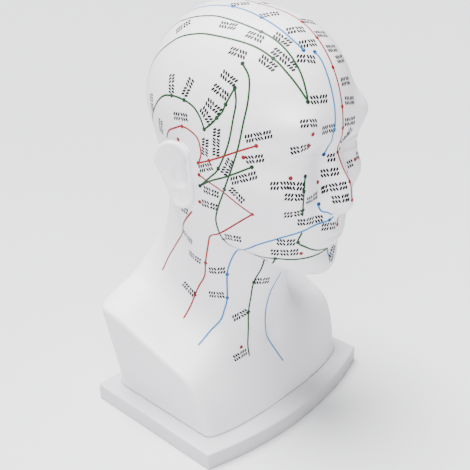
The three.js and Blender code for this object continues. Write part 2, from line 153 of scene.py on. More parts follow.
# Ear: its root, its turn and lean in degrees, the two circles of its outline, its dish and its rim
EAR_ROOT = [77, -14, 98]
EAR_TURN = 24
EAR_LEAN = 6
EAR_UPPER = [0, 10.5]
EAR_LOBE = [-5.5, -20.5]
EAR_UPPER_RADIUS = 16
EAR_LOBE_RADIUS = 11
EAR_HALF_THICKNESS = 2.2
EAR_DISH = {"bend": 0.01, "narrow": 0.6, "out": 0.5}
EAR_RIM = {"radius": 3.1, "thinning": 1.2, "start": -12, "span": 14, "out": 1.4}
EAR_INNER_RIM = {"inset": 10.5, "out": 0.8, "radius": 2.6}
EAR_FILLET = 1.6
EAR_LIMITS = [40, 50, 30]

# Chest and shoulder top: its height against y, and how the muscle to the neck lifts it against s
CHEST_TOP = [
    [-84, 34],
    [-74, 44],
    [-62, 55],
    [-53, 63.5],
    [-45, 71],
    [-36, 76.5],
    [-24, 81],
    [-10, 87],
    [2, 92.5],
    [13, 98],
    [24, 104],
    [36, 110],
    [48, 114],
    [60, 116.5],
    [80, 118],
]
SHOULDER_SLOPE = [
    [-10, 38],
    [22, 38],
    [32, 37],
    [40, 33],
    [47, 28.5],
    [59, 21],
    [72, 13.5],
    [89, 7],
    [107, 0],
    [125, -3],
]

# The ends of the collar bones and the notch between them
CHEST_SWELLINGS = [
    [[17, 34, -82], [9, 14, 9], 1.5],
    [[0, 36, -80], [11, 22, 16], -3.5],
]


# Shape functions: each gives about the distance to a surface, negative inside
def ball(p, centre, reach, tilt=0):
    s, f, u = p
    lean = math.radians(tilt)
    a = s - centre[0]
    b = (f - centre[1]) * math.cos(lean) + (u - centre[2]) * math.sin(lean)
    h = (u - centre[2]) * math.cos(lean) - (f - centre[1]) * math.sin(lean)
    near = np.sqrt((a / reach[0]) ** 2 + (b / reach[1]) ** 2 + (h / reach[2]) ** 2)
    steep = np.sqrt((a / reach[0] ** 2) ** 2 + (b / reach[1] ** 2) ** 2 + (h / reach[2] ** 2) ** 2)
    return near * (near - 1) / (steep + 1e-9)


def rod(p, start, end, start_radius, end_radius):
    d = np.subtract(end, start)
    away = [p[k] - start[k] for k in range(3)]
    t = np.clip((away[0] * d[0] + away[1] * d[1] + away[2] * d[2]) / (d @ d), 0, 1)
    gap = np.sqrt(sum((away[k] - t * d[k]) ** 2 for k in range(3)))
    return gap - (start_radius + (end_radius - start_radius) * t)


def join(a, b, fillet):
    h = np.maximum(fillet - np.abs(a - b), 0) / fillet
    return np.minimum(a, b) - h * h * fillet / 4


def cut(a, b, fillet):
    return -join(-a, b, fillet)


def both(a, b, fillet):
    return -join(-a, -b, fillet)


def bell(t):
    return np.exp(-t * t)


def fade(t):
    return 1 / (1 + np.exp(-np.clip(t, -30, 30)))


def ease(t):
    k = np.clip(t, 0, 1)
    return k * k * (3 - 2 * k)


def swell(distance, p, swelling):
    centre, reach, height = swelling
    lump = height
    for k in range(3):
        lump = lump * bell((p[k] - centre[k]) / reach[k])
    return distance - lump


# A smooth curve through stations, held level past both ends
def through(stations, at, column):
    table = np.array(stations, float)
    places, values = table[:, 0], table[:, column]
    spans = np.diff(places)
    rises = np.diff(values) / spans
    inner = (rises[:-1] * spans[1:] + rises[1:] * spans[:-1]) / (spans[:-1] + spans[1:])
    slopes = np.concatenate([rises[:1], inner, rises[-1:]])
    x = np.clip(at, places[0], places[-1])
    i = np.clip(np.searchsorted(places, x, side="right") - 1, 0, len(places) - 2)
    h = spans[i]
    t = (x - places[i]) / h
    start = values[i] * (1 + 2 * t) * (1 - t) ** 2 + h * slopes[i] * t * (1 - t) ** 2
    return start + values[i + 1] * t * t * (3 - 2 * t) + h * slopes[i + 1] * t * t * (t - 1)


# Level sections of face and jaw, each with its own reach to front, back and side
def face_block(p):
    s, f, u = p
    front, back, half, widest, square = [through(FACE_STATIONS, u, k) for k in range(1, 6)]
    ahead = f > widest
    n = np.where(ahead, square, 2)
    a = np.maximum(s / half, 1e-4)
    b = np.where(ahead, (f - widest) / (front - widest), (widest - f) / (widest + back))
    g = (a**n + np.maximum(b, 1e-4) ** n) ** (1 / n)
    return np.hypot(s, f - widest) * (g - 1) / np.maximum(g, 0.3)


# Eyeball under its lids, with a shallow almond opening and a crease over the upper lid
def add_eye(d, p):
    s, f, u = p
    front = fade((f - 60) / 3)
    for hollow in EYE_HOLLOWS:
        d = swell(d, p, hollow)
    d = join(d, ball(p, EYE, EYE_REACH), EYE_FILLET)
    t = (s - EYE[0]) / LIDS["half_width"]
    arc = np.maximum(1 - t * t, 0) ** 0.75
    middle = EYE[2] + 0.3 + 0.6 * t
    gap = np.maximum(u - middle - LIDS["upper"] * arc, middle - LIDS["lower"] * arc - u)
    d = d + LIDS["step"] * fade(-gap / LIDS["edge"]) * fade((0.95 - np.abs(t)) / 0.03) * front
    crease = u - middle - LID_CREASE["height"] * np.maximum(1 - (t / 1.25) ** 2, 0) ** 0.6 + 0.3
    return d + LID_CREASE["depth"] * bell(crease / LID_CREASE["width"]) * bell(t / 0.95) * front


# Nose, skull, neck and the folds of the ear: how each form is added, the fillet, the form, its sizes
NOSE = [
    [join, 1, rod, [0, 84.5, 120], [0, 98, 90], 6.5, 8],
    [join, 6, rod, [0, 97.5, 89], [0, 104, 80.5], 7.5, 8],
    [join, 8, ball, [0, 98.5, 92.5], [6.5, 11, 12]],
    [join, 6, ball, [11, 93, 76.5], [6, 9.5, 7]],
    [join, 8, ball, [0, 86, 93], [14.5, 13, 25], -12],
    [join, 4, rod, [0, 104, 75.5], [0, 95, 70.5], 3.4, 3.6],
]
NOSTRIL = [[cut, 2, ball, [6, 98.5, 69], [2.4, 4.4, 3.4], -15]]
SKULL = [
    [join, 1, ball, [0, -15, 142], [75, 82, 86]],
    [join, 16, ball, [0, 29, 138], [65, 69.5, 85]],
]
NECK = [
    [join, 1, rod, [0, -16, 60], [0, -34, -60], 54, 54],
    [join, 18, rod, [54, -18, 70], [21, 11, -60], 14, 11.5],
    [join, 24, rod, [0, 15, 8], [0, 5, -62], 24, 20],
    [join, 20, rod, [14, -51, 60], [20, -50, -10], 18.5, 24],
]
EAR_FOLDS = [
    [join, 6, ball, [-5, -2, -7], [12, 17, 8]],
    [cut, 3, ball, [-5.5, -4, 3], [7.5, 9.5, 6.5]],
    [cut, 3, ball, [-6, 9, 4.5], [7, 6, 4.5]],
    [join, 3, ball, [-14, -5, 0.5], [3.6, 6.5, 3.2]],
    [join, 3, ball, [-7, -15.5, 1], [5, 3.5, 2.8]],
    [join, 3, ball, [-8, -24, 0], [7.5, 7.5, 3.4]],
]


def assemble(rows, p, distance=math.inf):
    for add, fillet, form, *sizes in rows:
        distance = add(distance, form(p, *sizes), fillet)
    return distance


# Closed lips as a low relief over the swelling of the mouth, with the groove under the nose
def add_mouth(d, p):
    s, f, u = p
    front = fade((f - 70) / 4)
    d = swell(d, p, MUZZLE)
    line = LIP_LINE - 0.8 * bell(s / 5) + 0.9 * (s / LIP_HALF_WIDTH) ** 2
    arc = np.maximum(1 - (s / LIP_HALF_WIDTH) ** 2, 0)
    upper = (u - line) / (UPPER_LIP["height"] * arc**0.7 - 0.9 * bell(s / 3) + 0.6)
    lower = (line - u) / (LOWER_LIP["height"] * arc**0.7 + 0.6)
    for lip, along, here in ((UPPER_LIP, upper, u > line), (LOWER_LIP, lower, u <= line)):
        full = np.maximum(1 - ((along - lip["middle"]) / lip["spread"]) ** 2, 0) ** 1.2
        d = d - lip["swell"] * full * arc**0.8 * front * here
    groove = bell((u - line) / LIP_GROOVE["width"]) * bell(s / LIP_GROOVE["reach"]) ** 2
    d = swell(d + LIP_GROOVE["depth"] * groove * front, p, MOUTH_CORNER)
    groove = bell(s / NOSE_GROOVE["width"]) * bell((u - NOSE_GROOVE["middle"]) / NOSE_GROOVE["height"])
    return swell(d + NOSE_GROOVE["depth"] * groove * front, p, CHIN_HOLLOW)


# Skull over face and jaw, cut off below by the slanting underside of the jaw
def head_form(p):
    s, f, u = p
    blend = ease((u - SKULL_BLEND_START) / SKULL_BLEND_SPAN)
    d = face_block(p) * (1 - blend) + assemble(SKULL, p) * blend
    slant = (UNDER_JAW["reach"] - f) * UNDER_JAW["rise"]
    under_jaw = (slant + UNDER_JAW["height"] - u) * UNDER_JAW["square"]
    d = both(d, under_jaw, UNDER_JAW["fillet"])
    for swelling in FACE_SWELLINGS:
        d = swell(d, p, swelling)
    d = join(add_eye(d, p), assemble(NOSE, p), NOSE_FILLET)
    return add_mouth(assemble(NOSTRIL, p, d), p)


# Neck with the strands from behind the ears to the collar bones, the throat and the nape
def neck_form(p):
    return both(assemble(NECK, p), HEAD_Y - p[1] - BACK_WALL_Y + 3, 12)


def bust_top(s, y):
    blend = ease((y - SHOULDER_BLEND_START) / SHOULDER_BLEND_SPAN)
    return through(CHEST_TOP, y, 1) + through(SHOULDER_SLOPE, s, 1) * blend


# The block's top, filleted up to the neck, inside its four leaning walls and over its flat foot
def bust_form(p, y, z, neck):
    s = p[0]
    along = (bust_top(s, y + 1) - bust_top(s, y - 1)) / 2
    across = (bust_top(s + 1, y) - bust_top(s - 1, y)) / 2
    top = (z - bust_top(s, y)) / np.sqrt(1 + along**2 + across**2)
    blend = ease((FILLET_BLEND_START - y) / FILLET_BLEND_SPAN)
    fillet = NECK_FILLET_BACK + (NECK_FILLET_FRONT - NECK_FILLET_BACK) * blend
    top = join(top, neck, fillet)
    for swelling in CHEST_SWELLINGS:
        top = swell(top, p, swelling)

    rise = z - PLATE_THICKNESS
    flare = FOOT_FLARE * np.exp(-np.maximum(rise, 0) / FOOT_FLARE_HEIGHT)
    blend = ease((y - WALL_BLEND_START) / WALL_BLEND_SPAN)
    lean = WALL_LEAN_FRONT + (WALL_LEAN_BACK - WALL_LEAN_FRONT) * blend
    side = (s - WALL_HALF_WIDTH - lean * rise - flare) * WALL_SQUARE
    bulge = FRONT_WALL_BULGE * (s / WALL_HALF_WIDTH) ** 2
    front = (FRONT_WALL_Y + bulge + FRONT_WALL_LEAN * rise - flare - y) * WALL_SQUARE
    back = y - BACK_WALL_Y - BACK_WALL_LEAN * rise - flare

    sideways = np.minimum(s / WALL_HALF_WIDTH, 1) ** 2
    top = both(top, front, CHEST_ROLL_MIDDLE + (CHEST_ROLL_SIDE - CHEST_ROLL_MIDDLE) * sideways)
    walls = both(both(side, front, WALL_CORNER), back, BACK_CORNER)
    return np.maximum(both(top, walls, RIDGE_ROUNDING), -z)


# Outer ear in its own frame: back, up and out from the cheek, an egg-shaped dish with a rolled rim
def ear_form(p):
    back, up, out = p
    d = np.subtract(EAR_LOBE, EAR_UPPER)
    t = np.clip(((back - EAR_UPPER[0]) * d[0] + (up - EAR_UPPER[1]) * d[1]) / (d @ d), 0, 1)
    across = np.hypot(back - EAR_UPPER[0] - t * d[0], up - EAR_UPPER[1] - t * d[1])
    edge = across - (EAR_UPPER_RADIUS + (EAR_LOBE_RADIUS - EAR_UPPER_RADIUS) * t)
    bend = EAR_DISH["bend"] * (back**2 + (EAR_DISH["narrow"] * up) ** 2)
    dished = out + EAR_DISH["out"] - bend
    rim = EAR_RIM["radius"] - EAR_RIM["thinning"] * ease((EAR_RIM["start"] - up) / EAR_RIM["span"])
    d = both(edge + 1, np.abs(dished) - EAR_HALF_THICKNESS, 3)
    d = join(d, np.hypot(edge + rim, dished - EAR_RIM["out"]) - rim, 2.5)
    from_fold = np.hypot(edge + EAR_INNER_RIM["inset"], dished - EAR_INNER_RIM["out"])
    inner_fold = both(from_fold - EAR_INNER_RIM["radius"], -back - 3, 2)
    inner_fold = both(inner_fold, -up - 15, 2)
    return assemble(EAR_FOLDS, p, join(d, inner_fold, 4))


# The whole moulding at points in the part's own millimetres
def skin_form(points):
    x, y, z = points.T
    s = np.sqrt(x * x + MIDLINE_ROUNDING)
    p = (s, HEAD_Y - y, z - CHIN_Z)
    neck = neck_form(p)
    d = join(join(head_form(p), neck, HEAD_FILLET), bust_form(p, y, z, neck), BUST_FILLET)
    turn, lean = math.radians(EAR_TURN), math.radians(EAR_LEAN)
    rear = y - HEAD_Y + EAR_ROOT[1]
    height = z - CHIN_Z - EAR_ROOT[2]
    level = rear * math.cos(lean) - height * math.sin(lean)
    up = height * math.cos(lean) + rear * math.sin(lean)
    sideways = np.abs(x) - EAR_ROOT[0]
    back = level * math.cos(turn) + sideways * math.sin(turn)
    out = sideways * math.cos(turn) - level * math.sin(turn)
    from_root = np.abs([back, up, out])
    near = np.all(from_root < np.array(EAR_LIMITS)[:, None], axis=0)
    ear = ear_form((back[near], up[near], out[near]))
    d[near] = join(d[near], ear, EAR_FILLET)
    return d


# Slope of the form at points
SLOPE_REACH = 0.25
LEAST_STEEPNESS = 0.09
LONGEST_MOVE = 2


def skin_slope(points):
    ways = SLOPE_REACH * np.eye(3)
    slope = [skin_form(points + way) - skin_form(points - way) for way in ways]
    return np.stack(slope, axis=1) / (2 * SLOPE_REACH)


# Points moved until they stand at a given height over the form
def onto_skin(points, height, rounds=3):
    for _ in range(rounds):
        slope = skin_slope(points)
        size = np.maximum((slope**2).sum(1), LEAST_STEEPNESS)
        step = slope * ((skin_form(points) - height) / size)[:, None]
        length = np.linalg.norm(step, axis=1)
        points = points - step * np.minimum(1, LONGEST_MOVE / np.maximum(length, 1e-6))[:, None]
    return points


# The skin stands this far inside the form. It starts as even cells, which are halved once in the boxes
# round the face and the ears.
SKIN_INSET = 0.1
CELL = 2.0
FACE_BOX = [[-52, -140, 178], [52, -75, 300]]
EAR_BOX = [[66, -30, 218], [116, 32, 302]]
SKIN_FOOT = PLATE_THICKNESS + SEAM
FOOT_MARGIN = 0.6
EVENING = 0.6

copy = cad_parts["head_bust"].copy()
bpy.context.scene.collection.objects.link(copy)
remesh = copy.modifiers.new("cells", "REMESH")
remesh.mode = "VOXEL"
remesh.voxel_size = CELL * MM
graph = bpy.context.evaluated_depsgraph_get()
skin = bpy.data.meshes.new_from_object(copy.evaluated_get(graph), depsgraph=graph)
bpy.data.objects.remove(copy)


def inside(points, box):
    low, high = np.array(box[0]), np.array(box[1])
    return np.all((points > low) & (points < high), axis=1)


def mesh_points(mesh):
    flat = np.zeros(len(mesh.vertices) * 3)
    mesh.vertices.foreach_get("co", flat)
    return flat.reshape(-1, 3) / MM


def set_mesh_points(mesh, points):
    mesh.vertices.foreach_set("co", (points * MM).ravel())
    mesh.update()


def within_cad(points):
    low, high = np.array(cad_box) / MM
    return np.clip(points, low + SKIN_INSET, high - SKIN_INSET)


# Evens out the cells and draws them onto the form; the flat foot keeps its level
def settle(mesh, evenings):
    points = mesh_points(mesh)
    pairs = np.zeros(len(mesh.edges) * 2, int)
    mesh.edges.foreach_get("vertices", pairs)
    pairs = pairs.reshape(-1, 2)
    count = np.bincount(pairs.ravel(), minlength=len(points))[:, None]
    foot = points[:, 2] < SKIN_FOOT + FOOT_MARGIN
    for _ in range(evenings):
        total = np.zeros_like(points)
        np.add.at(total, pairs[:, 0], points[pairs[:, 1]])
        np.add.at(total, pairs[:, 1], points[pairs[:, 0]])
        points[~foot] += EVENING * (total / count - points)[~foot]
        points[~foot] = onto_skin(points[~foot], -SKIN_INSET, 1)
    points[~foot] = onto_skin(points[~foot], -SKIN_INSET, 3)
    points[foot, 2] = SKIN_FOOT
    rim = np.zeros(len(points), bool)
    rim[pairs[foot[pairs[:, 0]] != foot[pairs[:, 1]]].ravel()] = True
    rim &= foot
    points[rim] = onto_skin(points[rim], -SKIN_INSET, 4)
    points[foot, 2] = SKIN_FOOT
    set_mesh_points(mesh, within_cad(points))


def halve_cells(mesh, boxes):
    points = mesh_points(mesh)
    mirrored = points * np.array([-1, 1, 1])
    chosen = np.zeros(len(points), bool)
    for box in boxes:
        chosen |= inside(points, box) | inside(mirrored, box)
    cells = bmesh.new()
    cells.from_mesh(mesh)
    edges = [e for e in cells.edges if chosen[e.verts[0].index] and chosen[e.verts[1].index]]
    bmesh.ops.subdivide_edges(cells, edges=edges, cuts=1, use_grid_fill=True)
    cells.to_mesh(mesh)
    cells.free()


settle(skin, evenings=4)
halve_cells(skin, [FACE_BOX, EAR_BOX])
settle(skin, evenings=2)
for polygon in skin.polygons:
    polygon.use_smooth = True


# An sRGB hex colour as linear values
def linear(code):
    channels = [int(code[k : k + 2], 16) / 255 for k in (1, 3, 5)]
    return [c / 12.92 if c <= 0.04045 else ((c + 0.055) / 1.055) ** 2.4 for c in channels] + [1.0]


def add_node(tree, kind, inputs=None, **settings):
    node = tree.nodes.new(kind)
    for name, value in settings.items():
        setattr(node, name, value)
    for socket, value in (inputs or {}).items():
        if isinstance(value, bpy.types.NodeSocket):
            tree.links.new(value, node.inputs[socket])
        else:
            node.inputs[socket].default_value = value
    return node


# Matt white PVC, which gives the eye a soft, even white: hardly darker clouds in the colour, and the
# grain of the mould. The real grain is near 0.1 mm, and is drawn at 1.1 mm so that it shows at all.
CLOUD_SIZE = 45
GRAIN_SIZE = 1.1
GRAIN_DEPTH = 0.08


def moulded_pvc(name, code, darker, roughness, grain):
    material = bpy.data.materials.new(name)
    material.use_nodes = True
    tree = material.node_tree
    shader = tree.nodes["Principled BSDF"]
    place = add_node(tree, "ShaderNodeTexCoord").outputs["Object"]
    coarse = {"Vector": place, "Scale": 1 / (CLOUD_SIZE * MM), "Detail": 3.0}
    cloud = add_node(tree, "ShaderNodeTexNoise", coarse)
    tint = add_node(tree, "ShaderNodeMix", {"Factor": cloud.outputs["Fac"]}, data_type="RGBA")
    tint.inputs["A"].default_value = linear(code)
    tint.inputs["B"].default_value = linear(darker)
    tree.links.new(tint.outputs["Result"], shader.inputs["Base Color"])
    fine = {"Vector": place, "Scale": 1 / (GRAIN_SIZE * MM), "Detail": 2.0}
    height = add_node(tree, "ShaderNodeTexNoise", fine).outputs["Fac"]
    relief = {"Height": height, "Strength": grain, "Distance": GRAIN_DEPTH * MM}
    bump = add_node(tree, "ShaderNodeBump", relief)
    tree.links.new(bump.outputs["Normal"], shader.inputs["Normal"])
    shader.inputs["Roughness"].default_value = roughness
    shader.inputs["IOR"].default_value = 1.53
    return material


def add_piece(name, mesh, material):
    piece = bpy.data.objects.new(name, mesh)
    bpy.context.scene.collection.objects.link(piece)
    mesh.materials.clear()
    mesh.materials.append(material)
    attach(piece, "root")
    return piece


skin_pvc = moulded_pvc("white_pvc_skin", "#eceaee", "#e4e2e8", roughness=0.48, grain=0.4)
head_bust = add_piece("head_bust_skin", skin, skin_pvc)
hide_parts("head_bust")

# Base plate: a separate white PVC casting, 17 mm thick, that the bust is cemented onto.
# Rectangular with a bulging front edge, and with slightly eased edges and corners.
PLATE_WIDTH = 229
PLATE_DEPTH = 154
PLATE_BULGE = 18.5
PLATE_CORNER = 2.2
PLATE_EDGE = 1.5
ARC_POINTS = 64
CORNER_POINTS = 8
EDGE_STEPS = 5


# Outline of the plate seen from above, its corners rounded, drawn in by an inset
def plate_outline(inset):
    half = PLATE_WIDTH / 2 - PLATE_CORNER
    back = PLATE_DEPTH / 2 - PLATE_CORNER
    radius = (half**2 + PLATE_BULGE**2) / (2 * PLATE_BULGE)
    sweep = math.asin(half / radius)
    round_by = PLATE_CORNER - inset
    outline = []
    for k in range(ARC_POINTS + 1):
        a = -math.pi / 2 - sweep + 2 * sweep * k / ARC_POINTS
        outline.append((
            (radius + round_by) * math.cos(a),
            radius - back - PLATE_BULGE + (radius + round_by) * math.sin(a),
        ))
    corners = [(half, -back, -math.pi / 2 + sweep, 0), (half, back, 0, math.pi / 2)]
    corners += [(-half, back, math.pi / 2, math.pi), (-half, -back, math.pi, math.pi * 1.5 - sweep)]
    for x, y, start, end in corners:
        for k in range(1, CORNER_POINTS + 1):
            a = start + (end - start) * k / CORNER_POINTS
            outline.append((x + round_by * math.cos(a), y + round_by * math.sin(a)))
    return outline[:-1]


rings = []
for step in range(EDGE_STEPS + 1):
    a = math.pi / 2 * step / EDGE_STEPS
    rings.append((PLATE_EDGE * (1 - math.sin(a)), PLATE_EDGE * (1 - math.cos(a))))
rings += [(inset, PLATE_THICKNESS - height) for inset, height in reversed(rings)]
plate_points = [(x * MM, y * MM, z * MM) for inset, z in rings for x, y in plate_outline(inset)]
around = len(plate_points) // len(rings)
plate_faces = [list(range(around))[::-1]]
plate_faces.append([(len(rings) - 1) * around + k for k in range(around)])
for ring in range(len(rings) - 1):
    for k in range(around):
        low, high = ring * around, (ring + 1) * around
        after = (k + 1) % around
        plate_faces.append([low + k, low + after, high + after, high + k])
plate = bpy.data.meshes.new("plate")
plate.from_pydata(plate_points, [], plate_faces)
for polygon in plate.polygons:
    polygon.use_smooth = len(polygon.vertices) == 4
# The plate is the same white PVC as the bust, but coloured greyer: painted shade, for the plate top
# lying in less light than the bust above it.
plate_pvc_painted_shade = moulded_pvc("white_pvc_plate_painted_shade", "#c8c7cc", "#c0bfc5", roughness=0.42, grain=0.35)
base_plate = add_piece("base_plate_cast", plate, plate_pvc_painted_shade)
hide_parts("base_plate")

# Printed courses: green, blue and red enamel lines and dots, laid with a fine liner on the finished
# moulding, over the head's right half and its middle. Each course is a row of places, measured to
# the head's right, forward and up from the chin, after its ink and which of its places have a dot.
LINE_WIDTH = 1.65
LINE_END = 0.55
DOT_RADIUS = 1.8
INK_HEIGHT = -0.02
INK_STEP = 1.3
DOT_CORNERS = 14
DOT_START = [0.3, 0.2, 1.0]

# Ink, numbers of the places that have a dot, and places
COURSES = [
    ("green", [1, 3, 5, 10, 15], [
        [38, -66, 48], [38, -66, 64], [38, -78, 96], [38, -84, 120], [38, -85, 150], [37, -76, 178],
        [36, -49, 208], [37, -39, 213], [35, -17, 218], [32, 0, 218], [31, 39, 212], [30, 54, 207],
        [29, 66, 198], [29, 77, 186], [30, 84, 172], [31, 86, 166],
    ]),
    ("green", [0, 9], [
        [56, -68, 140], [55, -70, 158], [54, -63, 174], [54, -54, 185], [54, -41, 195],
        [52, -29, 202], [50, -15, 206], [47, 0, 207], [42, 37, 204], [39, 58, 196],
        [37, 70, 187], [34, 79, 177], [31, 86, 167],
    ]),
    ("green", [0, 5, 6, 10], [
        [54, -60, 94], [54, -63, 108], [56, -62, 122], [68, -47, 141], [72, -32, 156],
        [73, -19, 160], [73, -5, 159], [72, 5, 155], [72, 11, 149], [72, 14, 144], [72, 16, 139],
    ]),
    ("green", [2, 4, 5], [
        [72, 16, 139], [71, 22, 144], [69, 27, 150], [67, 31, 155], [65, 33, 161], [60, 38, 174],
    ]),
    ("green", [4, 6], [
        [60, 38, 174], [62, 41, 165], [64, 41, 155], [67, 37, 130], [69, 28, 108], [70, 20, 99],
        [70, 8, 88],
    ]),
    ("green", [0, 6, 10, 13], [
        [51, 38, 191], [54, 47, 182], [58, 50, 166], [62, 49, 150], [64, 44, 125], [67, 38, 104],
        [67, 33, 91], [65, 24, 72], [64, 20, 59], [61, 21, 47], [58, 23, 39], [48, 27, 29],
        [44, 47, 28], [40, 66, 29], [32, 78, 29], [20, 88, 30], [9, 91, 31], [0, 92, 32],
    ]),
    ("green", [3], [[70, 8, 88], [70, 21, 96], [67, 36, 103], [60, 56, 114]]),
    ("green", [0, 2, 4], [
        [35, 90, 108], [38, 92, 101], [39, 92, 97], [39, 92, 89], [36, 90, 79], [34, 88, 73],
    ]),
    ("green", [1], [[31, 86, 57], [32, 83, 47], [25, 87, 41], [16, 91, 36], [0, 92, 32]]),
    ("green", [3, 5], [
        [40, 66, 29], [37, 59, 19], [20, 35, 2], [25, 30, -15], [26, 27, -31], [28, 26, -46],
        [30, 28, -65], [32, 29, -80], [32, 31, -91],
    ]),
    ("blue", [1, 3, 5, 6, 9, 11, 13], [
        [20, -66, 40], [20, -70, 62], [20, -86, 98], [20, -94, 130], [20, -90, 165], [21, -78, 190],
        [22, -55, 211], [23, -31, 222], [21, -19, 224], [18, -2, 225], [18, 14, 223], [20, 30, 220],
        [21, 59, 209], [19, 71, 201],
    ]),
    ("blue", [0, 6, 9], [
        [11, 76, 199], [9, 81, 193], [9, 87, 184], [9, 92, 172], [9, 95, 160], [10, 97, 146],
        [11, 98, 142], [13, 98, 138], [11, 92, 125], [12, 90, 120],
    ]),
    ("blue", [0], [[19, 92, 80], [19, 93, 77], [17, 95, 74], [15, 100, 73], [3, 99, 69]]),
    ("blue", [1], [
        [3, 99, 69], [9, 95, 64], [22, 91, 62], [31, 86, 58], [43, 72, 51], [49, 55, 42], [50, 42, 33],
    ]),
    ("blue", [3, 4], [
        [50, 42, 33], [45, 28, 22], [43, 17, 8], [44, 14, -4], [44, 14, -29], [45, 11, -43],
        [48, 9, -53], [57, 4, -63], [71, 2, -73],
    ]),
    ("blue", [], [[0, 92, 32], [0, 94, 19]]),
    ("blue", [], [
        [-4, 38, -12], [5, 35, -26], [9, 32, -44], [10, 31, -61], [7, 31, -77], [0, 33, -94],
        [-9, 40, -114],
    ]),
    ("red", [1, 2, 3, 4, 5, 6, 8, 10, 11, 13, 15, 17, 19, 22, 25], [
        [0, -68, 36], [0, -72, 62], [0, -88, 96], [0, -97, 128], [0, -95, 158], [0, -85, 185],
        [0, -60, 211], [0, -25, 224], [0, 10, 226], [0, 35, 223], [0, 54, 217], [0, 69, 207],
        [0, 77, 199], [0, 86, 187], [0, 92, 175], [0, 97, 158], [0, 98, 148], [0, 98, 141],
        [0, 97, 132], [0, 95, 120], [0, 97, 114], [0, 102, 108], [0, 108, 98], [0, 110, 92],
        [0, 112, 86], [0, 112, 83],
    ]),
    ("red", [2], [[0, 99, 70], [0, 100, 63], [0, 101, 57]]),
    ("red", [3], [
        [72, -32, 120], [72, -25, 129], [74, -15, 134], [74, -7, 137], [74, 2, 135], [73, 9, 130],
        [72, 11, 123], [71, 11, 116], [71, 8, 109],
    ]),
    ("red", [0, 1, 3], [[71, 7, 108], [70, 19, 113], [64, 44, 125], [58, 59, 132]]),
    ("red", [0, 2], [[71, 8, 98], [67, 31, 88], [56, 54, 72]]),
    ("red", [6, 9], [
        [56, 54, 72], [58, 37, 58], [60, 26, 49], [61, 19, 44], [61, 10, 39], [57, 3, 24],
        [56, -1, 7], [55, -4, -8], [53, -13, -23], [54, -17, -33], [58, -20, -45], [66, -22, -56],
    ]),
    ("red", [2], [
        [70, -2, 62], [66, -13, 50], [60, -26, 33], [55, -40, 14], [53, -52, -6], [59, -57, -20],
    ]),
]
LONE_DOTS = [
    [72, -14, 124], [62, 49, 121], [70, 7, 73], [46, 84, 108], [36, 96, 144], [36, 93, 134],
    [20, 91, 99], [28, 84, 35], [-4, 95, 122], [-8, 101, 109], [-32, 91, 104], [39, 27, -79],
]
INKS = {"green": "#083412", "blue": "#04649e", "red": "#7c0008"}
DOT_INKS = {"green": "#041c0a", "blue": "#042c5c", "red": "#700006"}


def unit(vectors):
    return vectors / np.maximum(np.linalg.norm(vectors, axis=1), 1e-9)[:, None]


def on_head(places):
    return np.array([[-s, HEAD_Y - f, CHIN_Z + u] for s, f, u in places], float)


# A smooth curve through places, in even steps
def course_points(places, step):
    ends = [2 * places[0] - places[1], *places, 2 * places[-1] - places[-2]]
    points = []
    for a, b, c, d in zip(ends, ends[1:], ends[2:], ends[3:]):
        count = max(1, math.ceil(np.linalg.norm(c - b) / step))
        for k in range(count):
            t = k / count
            bend = (2 * a - 5 * b + 4 * c - d) * t**2 + (3 * b - 3 * c + d - a) * t**3
            points.append(b + ((c - a) * t + bend) / 2)
    points.append(places[-1])
    return np.array(points)


# Ribbons of ink along rows of points, narrowed at both ends
def lay_lines(rows, width):
    centre = onto_skin(np.vstack(rows), INK_HEIGHT)
    starts = np.cumsum([0] + [len(row) for row in rows])
    along = np.vstack([np.gradient(centre[a:b], axis=0) for a, b in zip(starts, starts[1:])])
    across = unit(np.cross(unit(skin_slope(centre)), along))
    half = np.full(len(centre), width / 2)
    half[starts[:-1]] *= LINE_END
    half[starts[1:] - 1] *= LINE_END
    across = across * half[:, None]
    ribbon = np.stack([centre - across, centre, centre + across], 1).reshape(-1, 3)
    points = onto_skin(ribbon, INK_HEIGHT, 2)
    faces = []
    for a, b in zip(starts, starts[1:]):
        for k in range(3 * a, 3 * (b - 1), 3):
            faces += [[k + 3, k + 4, k + 1, k], [k + 4, k + 5, k + 2, k + 1]]
    return points, faces


# Round dots of ink, each with its first corner square to DOT_START
def lay_dots(places, radius):
    centre = onto_skin(places, INK_HEIGHT)
    normal = unit(skin_slope(centre))
    level = unit(np.cross(normal, DOT_START))
    rise = np.cross(normal, level)
    turns = 2 * math.pi * np.arange(DOT_CORNERS) / DOT_CORNERS
    ring = [centre + radius * (level * math.cos(a) + rise * math.sin(a)) for a in turns]
    points = onto_skin(np.stack([centre, *ring], 1).reshape(-1, 3), INK_HEIGHT, 2)
    faces = []
    for dot in range(len(centre)):
        hub = dot * (DOT_CORNERS + 1)
        faces += [[hub, hub + 1 + k, hub + 1 + (k + 1) % DOT_CORNERS] for k in range(DOT_CORNERS)]
    return points, faces


# Enamel ink, which gives the eye a thin satin film, its colour pooled a little unevenly along the
# stroke in patches about 6 mm long
POOL_SIZE = 6
POOL_LIGHTER = 1.4
POOL_LIFT = 0.004


def enamel_ink(name, code):
    material = bpy.data.materials.new(name)
    material.use_nodes = True
    tree = material.node_tree
    shader = tree.nodes["Principled BSDF"]
    place = add_node(tree, "ShaderNodeTexCoord").outputs["Object"]
    patches = {"Vector": place, "Scale": 1 / (POOL_SIZE * MM), "Detail": 2.0}
    pooling = add_node(tree, "ShaderNodeTexNoise", patches)
    tint = add_node(tree, "ShaderNodeMix", {"Factor": pooling.outputs["Fac"]}, data_type="RGBA")
    full = linear(code)
    tint.inputs["A"].default_value = full
    thin = [min(1.0, c * POOL_LIGHTER + POOL_LIFT) for c in full[:3]]
    tint.inputs["B"].default_value = thin + [1.0]
    tree.links.new(tint.outputs["Result"], shader.inputs["Base Color"])
    shader.inputs["Roughness"].default_value = 0.5
    shader.inputs["Specular IOR Level"].default_value = 0.25
    return material


